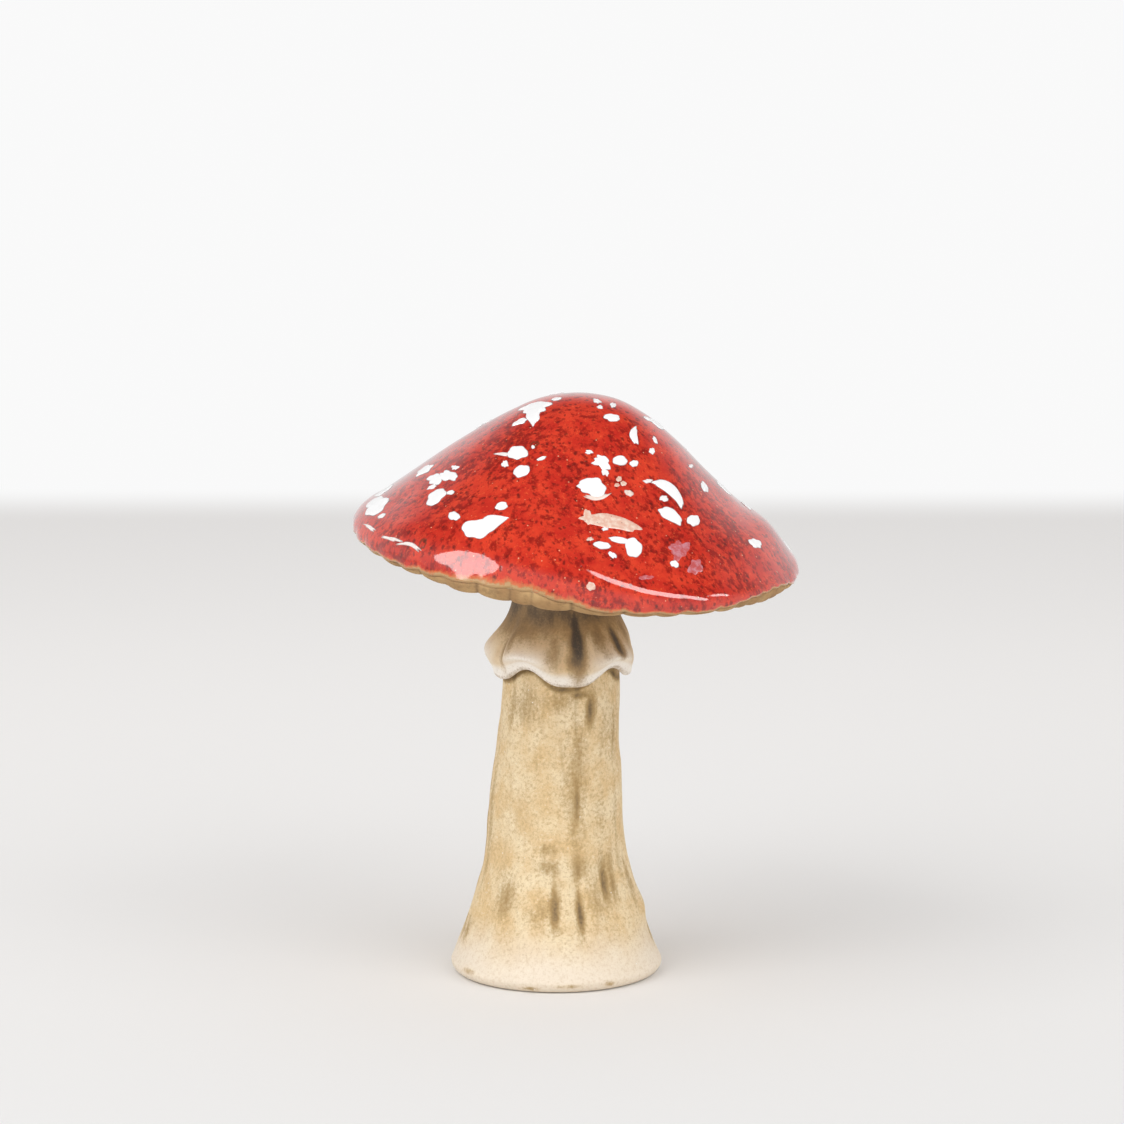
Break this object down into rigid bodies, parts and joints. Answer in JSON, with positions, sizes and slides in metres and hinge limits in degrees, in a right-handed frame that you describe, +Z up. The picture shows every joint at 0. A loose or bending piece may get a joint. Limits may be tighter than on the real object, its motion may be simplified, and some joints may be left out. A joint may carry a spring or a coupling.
{
  "type": "ceramic mushroom ornament",
  "caption": "Free-standing toadstool ornament: a glossy red dome with pale raised flakes, cemented askew on a flared hollow clay stem with a frilled skirt.",
  "frame": {"origin": "centre of the foot's flat resting face", "axes": "+Z up along the stem, -Y towards the front that the larger flakes face, +X to the side that the cap leans to"},
  "size_m": [0.0993, 0.0996, 0.1318],
  "materials": {
    "stem_clay": "matte oxide-washed stoneware",
    "skirt_clay": "matte oxide-washed stoneware",
    "slip": "fired clay slip",
    "cap_clay": "bare buff stoneware",
    "gill_clay": "bare buff stoneware with a brown oxide wash",
    "cement": "matte bedding cement",
    "red_glaze": "glossy speckled red glaze",
    "flake_glaze": "satin off-white glaze"
  },
  "bodies": {
    "root": {"stem": "stem_clay", "skirt": "skirt_clay", "skirt_slip": "slip", "cap": "cap_clay", "gill_plate": "gill_clay", "cap_collar": "cap_clay", "cap_cement": "cement", "red_glaze": "red_glaze", "white_flakes": "flake_glaze"}
  },
  "joints": []
}
